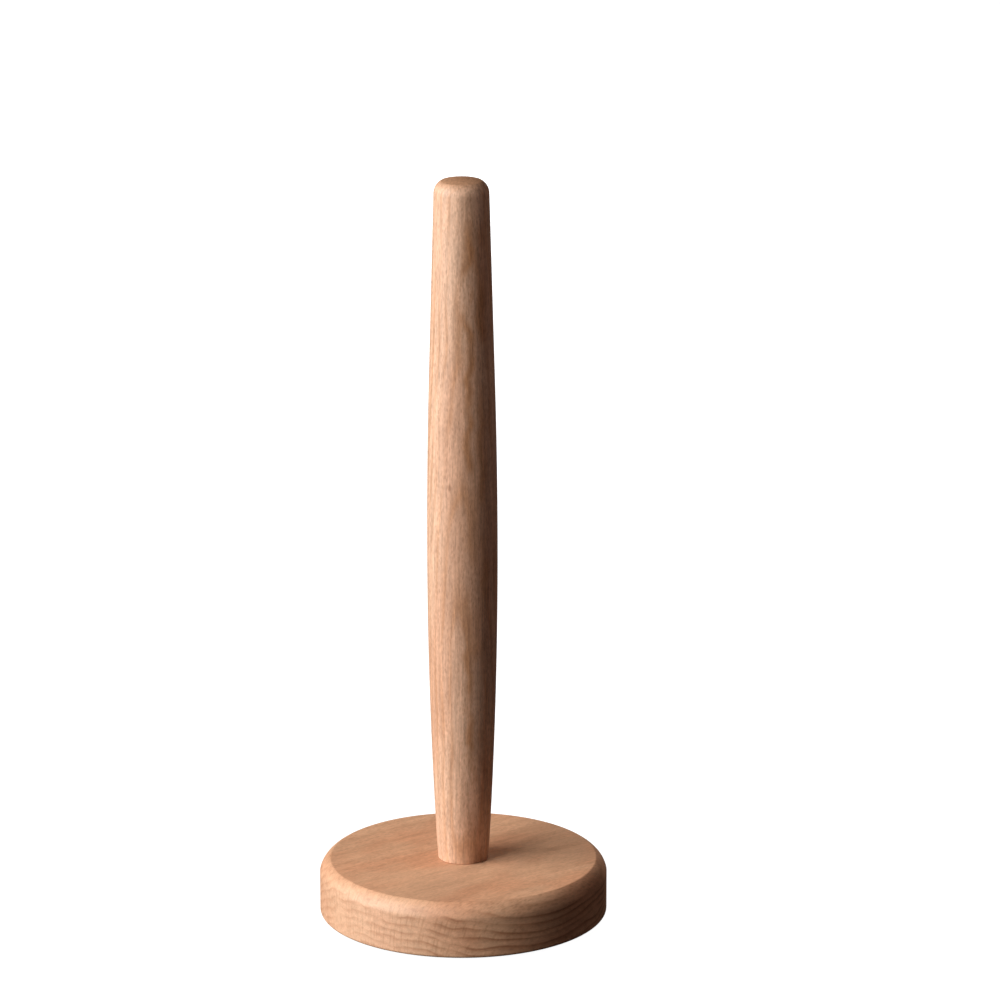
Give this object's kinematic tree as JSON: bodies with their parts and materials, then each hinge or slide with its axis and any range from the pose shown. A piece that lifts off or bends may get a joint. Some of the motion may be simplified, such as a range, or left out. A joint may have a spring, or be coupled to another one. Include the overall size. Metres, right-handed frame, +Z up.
{
  "type": "paper towel holder",
  "caption": "Free-standing paper towel holder in turned beech: a wide round base and a slender barrel-shaped post, bolted together from below.",
  "frame": {"origin": "on the table, under the middle of the base: the centre of the four pads' undersides", "axes": "+Z up along the post; the parts are turned about Z, and the pads sit on the diagonals of X and Y"},
  "size_m": [0.12, 0.12, 0.315],
  "materials": {
    "base_wood": "oiled satin beech",
    "post_wood": "oiled satin beech",
    "insert_zinc": "zinc alloy, dull",
    "bolt_steel": "zinc plated",
    "pad_rubber": "matt, finely pebbled"
  },
  "bodies": {
    "root": {"base_disc": "base_wood", "post": "post_wood", "threaded_insert": "insert_zinc", "post_bolt": "bolt_steel", "flat_washer": "bolt_steel", "non_slip_pad_1": "pad_rubber", "non_slip_pad_2": "pad_rubber", "non_slip_pad_3": "pad_rubber", "non_slip_pad_4": "pad_rubber"}
  },
  "joints": []
}
